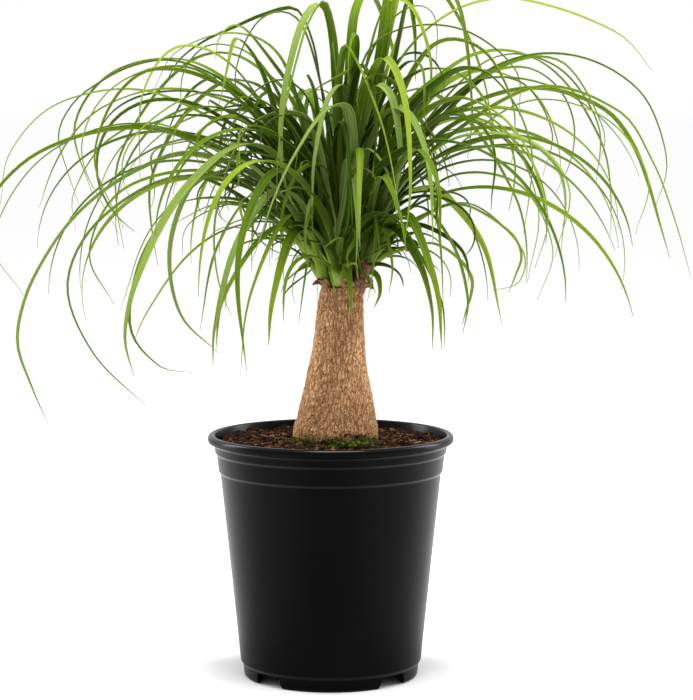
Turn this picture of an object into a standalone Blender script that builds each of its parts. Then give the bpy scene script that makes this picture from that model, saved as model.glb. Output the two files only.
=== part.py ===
"""A ponytail palm growing in a black nursery pot.

Units are metres and +Z is up. The origin is the centre of the pot's base, and
-Y is the front. The plant is one row of separate pieces: the pot, its potting
soil, two moss patches, the woody trunk, the green shoots on the trunk's top,
and the long arching leaves. Each piece is one closed solid, with a small
clearance to its neighbours.
"""
import math

import bmesh
import bpy
from mathutils import Vector, noise
from mathutils.bvhtree import BVHTree

MM = 0.001
CLEARANCE = 0.35 * MM

# Pot: a thin moulded plastic shell with a rolled lip, two stacking bands, and
# a raised floor on a foot ring that is notched into four feet.
POT_STEPS = 64
FLOOR_UNDERSIDE = 15 * MM
FLOOR_TOP = 17 * MM
POT_OUTER_MM = [
    (124.2, 258.0), (127.6, 258.0), (129.4, 256.6), (130.0, 254.6), (129.8, 251.2),
    (128.6, 249.2), (123.6, 247.2), (122.9, 245.6), (122.1, 239.6), (121.4, 238.2),
    (120.3, 236.4), (118.6, 220.2), (118.0, 218.6), (116.9, 216.4),
    (96.0, 16.2), (93.4, 12.6), (92.4, 4.0), (89.4, 0.0), (86.6, 0.0), (86.9, 15.0),
]
POT_INNER_MM = [(93.6, 17.0), (94.2, 18.0), (115.0, 216.4), (118.3, 236.4), (120.8, 246.6), (122.4, 256.0)]
NOTCH_COUNT = 4
NOTCH_WIDTH = 39 * MM
NOTCH_TOP_WIDTH = 31 * MM
NOTCH_HEIGHT = 12.6 * MM
DRAIN_RADIUS = 6 * MM
DRAIN_RING = 66 * MM

# Soil: fills the pot up to a little under the rim, round the buried trunk.
SOIL_TOP = 250 * MM

# Trunk: height, radius and sideways shift of its centre, from the crown to
# the buried base.
TRUNK_STEPS = 36
TRUNK_TOP = 414 * MM
TRUNK_MM = [
    (414.0, 24.4, 12.4), (405.0, 24.0, 11.6), (387.0, 25.0, 9.9), (368.0, 26.0, 9.2),
    (351.0, 27.6, 8.7), (336.0, 29.4, 7.9), (322.0, 31.9, 7.2), (310.0, 34.4, 7.1),
    (298.0, 37.0, 7.0), (288.0, 39.2, 6.7), (278.0, 41.4, 6.4), (264.0, 44.6, 5.4),
    (254.0, 45.4, 5.3), (244.0, 43.6, 5.3), (232.0, 36.0, 5.3), (224.0, 22.0, 5.3),
]
BURIED_BELOW = 254.5 * MM
BURIED_SHIFT = 5.3 * MM
CUT_STUB = {"foot": (22, -13, 396), "top": (31.5, -24, 427), "radius": 5 * MM}

# Shoots: foot on the trunk's top, lean direction and angle, and length.
SHOOTS = {
    "left": {"foot": (-3.4, -0.6), "towards": 178, "lean": 22, "length": 94},
    "front": {"foot": (9.6, -15.4), "towards": -96, "lean": 14, "length": 60},
    "right": {"foot": (28.6, -2.6), "towards": -8, "lean": 19, "length": 104},
    "back": {"foot": (22.0, 13.4), "towards": 46, "lean": 14, "length": 98},
    "rear": {"foot": (4.0, 14.6), "towards": 122, "lean": 17, "length": 92},
    "centre": {"foot": (12.4, 0.0), "towards": 60, "lean": 3, "length": 110},
}
SHOOT_RADIUS = 7.2 * MM
SHOOT_STEPS = 10

# Leaves, shoot by shoot: direction in degrees (0 is right, 90 is back),
# width in mm, then where the arch goes: (distance out, height) in metres.
LEAVES = {
    "left": [
        (169, 12, (0.10, 0.62), (0.17, 0.65), (0.24, 0.63), (0.29, 0.58), (0.27, 0.50)),
        (200, 12, (0.09, 0.61), (0.17, 0.64), (0.22, 0.62), (0.25, 0.55), (0.22, 0.48)),
        (181, 11, (0.09, 0.59), (0.20, 0.62), (0.29, 0.60), (0.34, 0.55), (0.362, 0.49)),
        (192, 13, (0.10, 0.55), (0.20, 0.58), (0.31, 0.55), (0.372, 0.47), (0.345, 0.41)),
        (212, 12, (0.10, 0.54), (0.17, 0.55), (0.27, 0.49), (0.33, 0.38), (0.30, 0.28)),
        (228, 15, (0.07, 0.55), (0.13, 0.56), (0.22, 0.50), (0.28, 0.40), (0.27, 0.34)),
        (160, 10, (0.08, 0.49), (0.12, 0.50), (0.18, 0.475)),
        (146, 12, (0.08, 0.60), (0.16, 0.63), (0.25, 0.59), (0.31, 0.51), (0.29, 0.42)),
        (246, 11, (0.06, 0.49), (0.11, 0.48), (0.18, 0.41), (0.20, 0.34)),
    ],
    "right": [
        (-6, 12, (0.09, 0.60), (0.15, 0.645), (0.22, 0.655), (0.29, 0.62), (0.32, 0.55), (0.31, 0.50)),
        (12, 13, (0.10, 0.59), (0.19, 0.62), (0.27, 0.60), (0.31, 0.55), (0.342, 0.44)),
        (-48, 12, (0.07, 0.60), (0.15, 0.64), (0.21, 0.62), (0.25, 0.56), (0.24, 0.48)),
        (-24, 13, (0.09, 0.55), (0.17, 0.57), (0.22, 0.53), (0.22, 0.45)),
        (-72, 12, (0.08, 0.53), (0.15, 0.56), (0.21, 0.53), (0.22, 0.47)),
        (-12, 12, (0.06, 0.48), (0.11, 0.50), (0.17, 0.46), (0.16, 0.41)),
        (-58, 13, (0.05, 0.48), (0.09, 0.49), (0.14, 0.42), (0.15, 0.36)),
        (22, 10, (0.05, 0.45), (0.09, 0.455), (0.13, 0.42), (0.12, 0.37)),
    ],
    "front": [
        (-152, 15, (0.04, 0.59), (0.10, 0.58), (0.14, 0.49), (0.14, 0.42), (0.13, 0.39)),
        (-134, 16, (0.05, 0.60), (0.10, 0.59), (0.15, 0.53), (0.17, 0.45)),
        (-102, 13, (0.06, 0.62), (0.12, 0.65), (0.20, 0.61), (0.25, 0.53), (0.255, 0.48)),
        (-60, 11, (0.04, 0.58), (0.09, 0.60), (0.15, 0.55), (0.19, 0.47)),
        (-112, 12, (0.05, 0.53), (0.11, 0.53), (0.20, 0.45), (0.24, 0.35)),
        (-142, 12, (0.05, 0.48), (0.10, 0.47), (0.15, 0.41), (0.16, 0.36)),
        (-62, 12, (0.06, 0.56), (0.16, 0.61), (0.28, 0.58), (0.361, 0.50), (0.355, 0.455)),
        (-34, 12, (0.05, 0.49), (0.09, 0.48), (0.13, 0.41), (0.13, 0.36)),
    ],
    "centre": [
        (76, 12, (0.05, 0.70), (0.13, 0.72), (0.25, 0.64), (0.330, 0.50)),
        (-20, 14, (0.052, 0.62), (0.074, 0.71), (0.095, 0.742), (0.128, 0.70), (0.142, 0.60), (0.138, 0.55)),
        (-118, 11, (0.03, 0.70), (0.07, 0.69), (0.13, 0.58), (0.14, 0.50)),
        (48, 13, (0.062, 0.64), (0.100, 0.735), (0.16, 0.725), (0.23, 0.64), (0.26, 0.53)),
        (158, 11, (0.05, 0.70), (0.11, 0.69), (0.18, 0.66), (0.21, 0.62)),
        (-66, 10, (0.04, 0.66), (0.08, 0.64), (0.13, 0.57), (0.15, 0.47)),
        (12, 11, (0.07, 0.66), (0.14, 0.71), (0.21, 0.711), (0.30, 0.68), (0.34, 0.64)),
    ],
    "back": [
        (30, 12, (0.08, 0.61), (0.17, 0.66), (0.26, 0.64), (0.33, 0.55), (0.34, 0.46)),
        (48, 12, (0.07, 0.58), (0.14, 0.62), (0.24, 0.58), (0.31, 0.48), (0.30, 0.40)),
        (70, 12, (0.08, 0.60), (0.17, 0.63), (0.26, 0.57), (0.312, 0.46), (0.305, 0.37)),
        (86, 11, (0.06, 0.53), (0.14, 0.55), (0.22, 0.49), (0.26, 0.39)),
        (40, 12, (0.06, 0.50), (0.12, 0.51), (0.19, 0.45), (0.22, 0.36)),
        (16, 12, (0.08, 0.58), (0.16, 0.64), (0.22, 0.63), (0.25, 0.57), (0.23, 0.51)),
    ],
    "rear": [
        (140, 12, (0.08, 0.62), (0.17, 0.66), (0.26, 0.62), (0.33, 0.53), (0.32, 0.44)),
        (124, 12, (0.07, 0.59), (0.15, 0.62), (0.25, 0.57), (0.316, 0.46), (0.306, 0.38)),
        (110, 12, (0.08, 0.57), (0.15, 0.60), (0.23, 0.54), (0.28, 0.43), (0.27, 0.35)),
        (132, 12, (0.06, 0.51), (0.13, 0.51), (0.20, 0.44), (0.23, 0.35)),
        (156, 11, (0.07, 0.52), (0.14, 0.53), (0.22, 0.47), (0.26, 0.38)),
        (92, 10, (0.05, 0.49), (0.10, 0.49), (0.16, 0.42), (0.17, 0.36)),
    ],
}
LEAF_STATIONS = 13
LEAF_THICKNESS = 1.1 * MM
LEAF_CHANNEL = 0.16

COLOURS = {
    "pot_plastic": ((0.012, 0.013, 0.013), 0.42),
    "potting_soil": ((0.055, 0.034, 0.022), 0.95),
    "moss": ((0.10, 0.16, 0.03), 0.95),
    "trunk_bark": ((0.36, 0.24, 0.14), 0.85),
    "shoot_sheath": ((0.42, 0.46, 0.20), 0.6),
    "leaf_blade": ((0.10, 0.20, 0.045), 0.45),
}


def clear_scene():
    for item in list(bpy.data.objects):
        bpy.data.objects.remove(item, do_unlink=True)


def make_material(slot):
    colour, roughness = COLOURS[slot]
    material = bpy.data.materials.get(slot) or bpy.data.materials.new(slot)
    material.use_nodes = True
    shader = material.node_tree.nodes["Principled BSDF"]
    shader.inputs["Base Color"].default_value = (*colour, 1.0)
    shader.inputs["Roughness"].default_value = roughness
    shader.inputs["Metallic"].default_value = 0.0
    material.diffuse_color = (*colour, 1.0)
    return material


def named_collection(name):
    found = bpy.data.collections.get(name)
    if found is None:
        found = bpy.data.collections.new(name)
        bpy.context.scene.collection.children.link(found)
    return found


def add_object(name, mesh, slot=None, collection="potted ponytail palm"):
    item = bpy.data.objects.new(name, mesh)
    named_collection(collection).objects.link(item)
    if slot:
        mesh.materials.clear()
        mesh.materials.append(make_material(slot))
    return item


def mesh_from(bm, name):
    bmesh.ops.recalc_face_normals(bm, faces=bm.faces)
    mesh = bpy.data.meshes.new(name)
    bm.to_mesh(mesh)
    bm.free()
    mesh.shade_smooth()
    mesh.set_sharp_from_angle(angle=math.radians(40))
    return mesh


def lathe(name, profile_mm, steps, slot, collection="potted ponytail palm"):
    """Turn a profile of (radius, height) in mm about the Z axis."""
    bm = bmesh.new()
    chain = [bm.verts.new((radius * MM, 0.0, height * MM)) for radius, height in profile_mm]
    for first, second in zip(chain, chain[1:]):
        bm.edges.new((first, second))
    mesh = bpy.data.meshes.new(name)
    bm.to_mesh(mesh)
    bm.free()
    item = add_object(name, mesh, slot, collection)
    screw = item.modifiers.new("Turn", "SCREW")
    screw.steps = steps
    screw.render_steps = steps
    screw.use_merge_vertices = True
    screw.merge_threshold = 0.00001
    screw.use_smooth_shade = True
    return item


def settle(item):
    """Replace an object's mesh by the result of its modifiers."""
    depsgraph = bpy.context.evaluated_depsgraph_get()
    mesh = bpy.data.meshes.new_from_object(item.evaluated_get(depsgraph))
    item.modifiers.clear()
    item.data = mesh
    bm = bmesh.new()
    bm.from_mesh(mesh)
    bmesh.ops.recalc_face_normals(bm, faces=bm.faces)
    bm.to_mesh(mesh)
    bm.free()
    mesh.set_sharp_from_angle(angle=math.radians(40))


def make_cutter(item):
    item.hide_render = True
    item.display_type = "WIRE"
    return item


def add_cutter(name, bm):
    return make_cutter(add_object(name, mesh_from(bm, name), collection="cutters"))


def boolean(item, other, operation):
    modifier = item.modifiers.new(other.name, "BOOLEAN")
    modifier.object = other
    modifier.operation = operation
    modifier.solver = "EXACT"


def sweep(rings):
    """A closed bmesh solid through a list of equal-length rings of points."""
    bm = bmesh.new()
    bmesh.ops.create_circle(bm, cap_ends=True, segments=len(rings[0]), radius=1.0)
    bm.faces.ensure_lookup_table()
    cap = bm.faces[0]
    for vert, place in zip(cap.verts, rings[0]):
        vert.co = place
    for number, ring in enumerate(rings[1:]):
        made = bmesh.ops.extrude_face_region(bm, geom=[cap])["geom"]
        if number:
            bmesh.ops.delete(bm, geom=[cap], context="FACES_ONLY")
        cap = next(part for part in made if isinstance(part, bmesh.types.BMFace))
        for vert, place in zip(cap.verts, ring):
            vert.co = place
    bmesh.ops.recalc_face_normals(bm, faces=bm.faces)
    return bm


def direction(azimuth, elevation):
    around, up = math.radians(azimuth), math.radians(elevation)
    return Vector((math.cos(around) * math.cos(up), math.sin(around) * math.cos(up), math.sin(up)))


def smooth_path(points, count):
    """Points evenly spaced along a smooth curve through the given ones."""
    ends = [points[0] * 2 - points[1], *points, points[-1] * 2 - points[-2]]
    fine = []
    for before, start, end, after in zip(ends, ends[1:], ends[2:], ends[3:]):
        for step in range(16):
            t = step / 16
            fine.append(0.5 * (2 * start + (end - before) * t
                               + (2 * before - 5 * start + 4 * end - after) * t ** 2
                               + (3 * start - before - 3 * end + after) * t ** 3))
    fine.append(points[-1])
    lengths = [0.0]
    for first, second in zip(fine, fine[1:]):
        lengths.append(lengths[-1] + (second - first).length)
    even, place = [], 0
    for step in range(count):
        target = lengths[-1] * step / (count - 1)
        while place < len(fine) - 2 and lengths[place + 1] < target:
            place += 1
        part = (target - lengths[place]) / (lengths[place + 1] - lengths[place])
        even.append(fine[place].lerp(fine[place + 1], min(part, 1.0)))
    return even


def build_pot():
    inner = list(reversed(POT_INNER_MM))
    profile = inner[::-1] + POT_OUTER_MM
    floor = [(0.0, FLOOR_TOP / MM)]
    under = [(0.0, FLOOR_UNDERSIDE / MM)]
    pot = lathe("pot", floor + profile + under, POT_STEPS, "pot_plastic")
    for index in range(NOTCH_COUNT):
        angle = math.radians(45 + index * 360 / NOTCH_COUNT)
        outward = Vector((math.cos(angle), math.sin(angle), 0))
        side = Vector((-math.sin(angle), math.cos(angle), 0))
        rings = []
        for reach in (78 * MM, 104 * MM):
            corners = [(-NOTCH_WIDTH / 2, -2 * MM), (NOTCH_WIDTH / 2, -2 * MM),
                       (NOTCH_TOP_WIDTH / 2, NOTCH_HEIGHT), (-NOTCH_TOP_WIDTH / 2, NOTCH_HEIGHT)]
            rings.append([outward * reach + side * across + Vector((0, 0, up)) for across, up in corners])
        boolean(pot, add_cutter(f"notch_{index + 1}", sweep(rings)), "DIFFERENCE")
        bm = bmesh.new()
        bmesh.ops.create_cone(bm, cap_ends=True, segments=20, radius1=DRAIN_RADIUS,
                              radius2=DRAIN_RADIUS, depth=12 * MM)
        bmesh.ops.translate(bm, verts=bm.verts, vec=outward * DRAIN_RING + Vector((0, 0, FLOOR_TOP)))
        boolean(pot, add_cutter(f"drain_{index + 1}", bm), "DIFFERENCE")
    settle(pot)
    return pot


def trunk_profile():
    """The trunk's (radius, height) outline in mm, from its crown down to the axis."""
    return [(0.0, TRUNK_MM[0][0])] + [(radius, height) for height, radius, _ in TRUNK_MM] + [(0.0, 221.0)]


def trunk_shift(height):
    """How far the trunk's centre leans to the right at a height."""
    rows = TRUNK_MM
    for (upper, _, shift_up), (lower, _, shift_down) in zip(rows, rows[1:]):
        if lower * MM <= height <= upper * MM:
            part = (height / MM - lower) / (upper - lower)
            return (shift_down + (shift_up - shift_down) * part) * MM
    return BURIED_SHIFT if height < rows[-1][0] * MM else rows[0][2] * MM


def build_trunk():
    """A tapering woody stem, swollen at the soil, with shallow upright folds."""
    trunk = lathe("trunk", trunk_profile(), TRUNK_STEPS, "trunk_bark")
    settle(trunk)
    for vert in trunk.data.vertices:
        height = vert.co.z
        angle = math.atan2(vert.co.y, vert.co.x)
        if BURIED_BELOW < height < TRUNK_TOP - MM:
            folds = 0.014 * math.sin(5 * angle + height * 14) + 0.012 * math.sin(9 * angle - height * 21)
            vert.co.x *= 1 + folds
            vert.co.y *= 1 + folds
        vert.co.x += trunk_shift(height)
    foot, top = Vector(CUT_STUB["foot"]) * MM, Vector(CUT_STUB["top"]) * MM
    axis = (top - foot).normalized()
    side = axis.orthogonal().normalized()
    other = axis.cross(side)
    rings = []
    for share, scale in ((0.0, 1.25), (0.5, 1.0), (0.93, 0.94), (1.0, 0.7)):
        middle = foot.lerp(top, share)
        rings.append([middle + (side * math.cos(turn) + other * math.sin(turn)) * CUT_STUB["radius"] * scale
                      for turn in (math.tau * step / 9 for step in range(9))])
    boolean(trunk, add_cutter("cut_stub", sweep(rings)), "UNION")
    settle(trunk)
    return trunk


def build_soil():
    """Soil up to just under the rim, with a socket for the buried trunk."""
    gap = CLEARANCE / MM
    outer = [(radius - gap, height) for radius, height in POT_INNER_MM if 18.0 <= height < 246]
    outer[0] = (POT_INNER_MM[0][0] - gap, FLOOR_TOP / MM + gap)
    top = SOIL_TOP / MM
    profile = [(0.0, FLOOR_TOP / MM + gap), *outer, (120.8 - gap, top - 3.4), (119.0, top - 1.2),
               (104.0, top), (84.0, top + 0.9), (64.0, top + 1.4), (54.0, top + 1.0), (40.0, top), (0.0, top)]
    soil = lathe("potting_soil", profile, POT_STEPS, "potting_soil")
    settle(soil)
    for vert in soil.data.vertices:
        if vert.co.z > SOIL_TOP - 1.5 * MM and vert.co.xy.length > 74 * MM:
            vert.co.z += 1.2 * MM * noise.noise(vert.co * 70)
    rows = [(radius + gap, height) for height, radius, _ in TRUNK_MM if height <= 264]
    socket = lathe("socket", [(0.0, 280.0), (rows[0][0], 280.0), *rows[1:], (0.0, 221.0 - gap)],
                   TRUNK_STEPS, None, "cutters")
    settle(socket)
    for vert in socket.data.vertices:
        vert.co.x += BURIED_SHIFT
    boolean(soil, make_cutter(socket), "DIFFERENCE")
    settle(soil)
    return soil


def build_moss(name, start, end, inner, outer, height):
    """A low cushion that follows the trunk's foot from one angle to another."""
    rings = []
    stations = 11
    for step in range(stations):
        t = step / (stations - 1)
        angle = math.radians(start + (end - start) * t)
        swell = math.sin(math.pi * (0.04 + 0.92 * t)) ** 0.6
        wobble = 0.86 + 0.28 * noise.noise(Vector((t * 3.1, inner * 90, 0)))
        outward = Vector((math.cos(angle), math.sin(angle), 0))
        middle = (inner + outer) / 2
        half = (outer - inner) / 2 * swell
        ring = []
        for across, up in ((-1, 0), (-0.86, 0.55), (-0.3, 1), (0.35, 0.86), (0.85, 0.4), (1, 0)):
            place = outward * (middle + half * across) + Vector((BURIED_SHIFT, 0, 0))
            ring.append(place + Vector((0, 0, SOIL_TOP + 1.85 * MM + up * height * swell * wobble)))
        rings.append(ring)
    return add_object(name, mesh_from(sweep(rings), name), "moss")


def shoot_axis(shoot):
    """The foot point and upward direction of one shoot."""
    across, along = shoot["foot"]
    foot = Vector((across * MM, along * MM, TRUNK_TOP + CLEARANCE))
    return foot, direction(shoot["towards"], 90 - shoot["lean"])


def build_shoot(name, shoot):
    foot, up = shoot_axis(shoot)
    rings = []
    for share, scale in ((0.0, 1.0), (0.12, 1.02), (0.45, 0.9), (0.8, 0.66), (0.95, 0.42), (1.0, 0.12)):
        middle = foot + up * shoot["length"] * MM * share
        flat = share < 0.01
        across = Vector((1, 0, 0)) if flat else Vector((0, 1, 0)).cross(up).normalized()
        along = Vector((0, 1, 0)) if flat else up.cross(across)
        rings.append([middle + (across * math.cos(turn) + along * math.sin(turn)) * SHOOT_RADIUS * scale
                      for turn in (math.tau * step / SHOOT_STEPS for step in range(SHOOT_STEPS))])
    name = f"shoot_{name}"
    return add_object(name, mesh_from(sweep(rings), name), "shoot_sheath")


def leaf_path(shoot, azimuth, arch, rank, bow):
    """Rise beside the shoot, then follow the arch out to the hanging tip."""
    foot, up = shoot_axis(shoot)
    share = 0.10 + 0.68 * rank
    outward = direction(azimuth, 0)
    beside = SHOOT_RADIUS * (1.02 - 0.55 * share) + 1.9 * MM
    leaning = up * shoot["length"] * MM * share
    start = foot + leaning + outward * beside
    forward = leaning.dot(outward)
    aside = leaning - outward * forward
    origin = Vector((foot.x + aside.x, foot.y + aside.y, 0))
    reach, height = arch[0]
    arch = [(max(reach, forward + beside + 9 * MM), height), *arch[1:]]
    rise = start.lerp(origin + outward * arch[0][0] + Vector((0, 0, height)), 0.5)
    rise -= outward * (arch[0][0] - forward - beside) * 0.14
    rise.z += 0.1 * (height - start.z)
    points = [start, rise]
    for reach, height in arch:
        points.append(origin + outward * reach + Vector((0, 0, height)))
    path = smooth_path(points, LEAF_STATIONS)
    side = direction(azimuth + 90, 0)
    last = LEAF_STATIONS - 1
    return [point + side * bow * math.sin(math.pi * step / last) for step, point in enumerate(path)]


def leaf_width(t, width):
    """Narrow at the base, widest at a quarter of the length, and a thread-like tip."""
    spread = min(1.0, 0.42 + 2.6 * t)
    return max(width * spread * (1 - t ** 2.2) ** 0.9, 0.9 * MM)


def leaf_rings(path, azimuth, width, extra=0.0):
    side = direction(azimuth + 90, 0)
    rings = []
    for index, middle in enumerate(path):
        t = index / (len(path) - 1)
        ahead = path[min(index + 1, len(path) - 1)] - path[max(index - 1, 0)]
        face = ahead.normalized().cross(side).normalized()
        if face.z < 0 and t < 0.6:
            face = -face
        elif rings and face.dot(last_face) < 0:
            face = -face
        last_face = face
        half = leaf_width(t, width) / 2 + extra
        thick = LEAF_THICKNESS * (1 - 0.55 * t) / 2 + extra
        lift = LEAF_CHANNEL * half * 2
        rings.append([middle - side * half + face * lift, middle + face * thick,
                      middle + side * half + face * lift, middle - face * thick])
    return rings


def build_leaves(others):
    """Each leaf turns a few degrees aside where its planned place is taken."""
    placed = list(others)
    leaves = []
    places = sorted(((turn, bow * MM, slide) for turn in range(-30, 31, 3) for bow in range(-36, 37, 9)
                     for slide in (-0.16, -0.08, 0.0, 0.08, 0.16)),
                    key=lambda place: abs(place[0]) / 3 + abs(place[1]) / (12 * MM) + abs(place[2]) * 12)
    for shoot_name, rows in LEAVES.items():
        shoot = SHOOTS[shoot_name]
        for number, (azimuth, width_mm, *arch) in enumerate(rows, 1):
            rank = 1 - (number - 1) / max(len(rows) - 1, 1)
            best = None
            for turn, bow, slide in places:
                path = leaf_path(shoot, azimuth + turn, arch, rank + slide, bow)
                wide = sweep(leaf_rings(path, azimuth + turn, width_mm * MM, CLEARANCE))
                tree = BVHTree.FromBMesh(wide)
                wide.free()
                if not any(tree.overlap(other) for other in placed):
                    best = (turn, bow, slide)
                    break
            if best is None:
                print("no free place for leaf", shoot_name, number)
                continue
            turn, bow, slide = best
            path = leaf_path(shoot, azimuth + turn, arch, rank + slide, bow)
            solid = sweep(leaf_rings(path, azimuth + turn, width_mm * MM))
            placed.append(BVHTree.FromBMesh(solid))
            name = f"leaf_{shoot_name}_{number}"
            leaves.append(add_object(name, mesh_from(solid, name), "leaf_blade"))
            if abs(turn) > 9:
                print(name, "turned aside by", turn)
    return leaves


def tree_of(item):
    bm = bmesh.new()
    bm.from_mesh(item.data)
    tree = BVHTree.FromBMesh(bm)
    bm.free()
    return tree


clear_scene()
pot = build_pot()
soil = build_soil()
trunk = build_trunk()
moss_right = build_moss("moss_front", -97, -28, 47.6 * MM, 63 * MM, 8 * MM)
moss_left = build_moss("moss_left", -168, -128, 47.6 * MM, 58 * MM, 5 * MM)
shoots = [build_shoot(name, shoot) for name, shoot in SHOOTS.items()]
leaves = build_leaves([tree_of(item) for item in (pot, trunk, *shoots)])
print(f"built {5 + len(shoots) + len(leaves)} pieces")
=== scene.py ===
# %% [markdown]
# # A potted ponytail palm
# The plant stands in a black nursery pot. Its solid pieces are already made in
# CAD and come in as a fixed frame in metres, with -Y at the front. This lesson
# gives each of them its fine surface, and adds the many thin leaves, chips of
# bark and tufts of moss that are too fine for the solid model.

import math
import random

import bmesh
import bpy
from mathutils import Matrix, Vector, noise


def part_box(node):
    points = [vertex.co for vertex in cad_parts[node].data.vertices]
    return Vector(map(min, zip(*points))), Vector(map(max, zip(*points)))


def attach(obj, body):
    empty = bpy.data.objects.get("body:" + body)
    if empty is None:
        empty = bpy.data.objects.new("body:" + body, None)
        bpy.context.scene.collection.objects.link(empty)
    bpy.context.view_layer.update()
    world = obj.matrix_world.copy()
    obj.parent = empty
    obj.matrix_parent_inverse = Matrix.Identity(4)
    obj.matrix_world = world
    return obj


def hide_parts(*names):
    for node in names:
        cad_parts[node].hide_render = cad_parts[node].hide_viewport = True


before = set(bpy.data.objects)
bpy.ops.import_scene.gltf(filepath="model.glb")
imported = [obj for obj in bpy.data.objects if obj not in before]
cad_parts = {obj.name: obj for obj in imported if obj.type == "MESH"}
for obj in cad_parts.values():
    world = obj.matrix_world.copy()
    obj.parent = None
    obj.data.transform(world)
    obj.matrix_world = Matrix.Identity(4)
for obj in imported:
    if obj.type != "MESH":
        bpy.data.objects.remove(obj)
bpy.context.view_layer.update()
MM = 0.001
print("nodes in the frame:", len(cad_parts))

# %% [markdown]
# ## The camera
# The view is nearly level, from a little above the leaves' middle, with a long
# lens, so the plant shows almost without perspective. The camera comes first,
# because every later choice is judged through it.

# %% Camera
CAMERA_PLACE = (0.0167, -2.6818, 0.6185)
CAMERA_DIP = math.radians(5.782)
LENS, SENSOR_WIDTH = 131.3, 36


def add_object(name, data):
    """A new object in the scene, at the origin."""
    item = bpy.data.objects.new(name, data)
    bpy.context.scene.collection.objects.link(item)
    return item


camera = add_object("camera", bpy.data.cameras.new("camera"))
camera.location = CAMERA_PLACE
camera.rotation_euler = (math.radians(90) - CAMERA_DIP, 0, 0)
camera.data.lens, camera.data.sensor_width = LENS, SENSOR_WIDTH
bpy.context.scene.camera = camera
print("camera", tuple(round(v, 2) for v in camera.location))

# %% [markdown]
# ## Light and floor
# A plain studio: a pale floor, an even white surround, one wide soft light
# overhead, and a tall soft light at each side. The side lights draw the pale
# sheen down the edges of the dark pot. Soft light suits thin leaves, because
# hard shadows would cut them into stripes.

# %% Studio
OVERHEAD_POWER, SIDE_POWER = 78, 34
world = bpy.data.worlds.new("studio")
bpy.context.scene.world = world
world.use_nodes = True
world.node_tree.nodes["Background"].inputs["Color"].default_value = (1, 1, 1, 1)
world.node_tree.nodes["Background"].inputs["Strength"].default_value = 1.0
bpy.context.scene.view_settings.view_transform = "Standard"


def soft_light(name, place, aim, width, height, power):
    """An area light at a place, turned towards a point."""
    lamp = bpy.data.lights.new(name, "AREA")
    lamp.shape = "RECTANGLE"
    lamp.size, lamp.size_y, lamp.energy = width, height, power
    item = add_object(name, lamp)
    item.location = place
    item.rotation_euler = (Vector(aim) - Vector(place)).to_track_quat("-Z", "Y").to_euler()


soft_light("overhead", (0.1, -0.6, 2.3), (0, 0, 0.5), 1.3, 1.3, OVERHEAD_POWER)
soft_light("left_side", (-1.6, 0.5, 0.8), (0, 0, 0.4), 0.6, 1.6, SIDE_POWER)
soft_light("right_side", (1.6, 0.5, 0.8), (0, 0, 0.4), 0.6, 1.6, SIDE_POWER)
print("three soft lights")

# %% [markdown]
# ## Shader sums
# A finish mixes noise, masks and colours. Writing those sums as Python
# expressions keeps them readable, so a small class wraps a socket and adds a
# Math node for each operator. Every other node comes from one method.

# %% A small shader language


class Value:
    """A number in a finish's node tree, which can be added, scaled and so on."""

    def __init__(self, finish, socket):
        self.finish, self.socket = finish, socket

    def sum_with(self, operation, *others):
        terms = dict(enumerate((self, *others)))
        return self.finish.node("ShaderNodeMath", {"operation": operation}, terms)

    def __add__(self, other):
        return self.sum_with("ADD", other)

    def __sub__(self, other):
        return self.sum_with("SUBTRACT", other)

    def __mul__(self, other):
        return self.sum_with("MULTIPLY", other)

    __radd__ = __add__
    __rmul__ = __mul__


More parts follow.
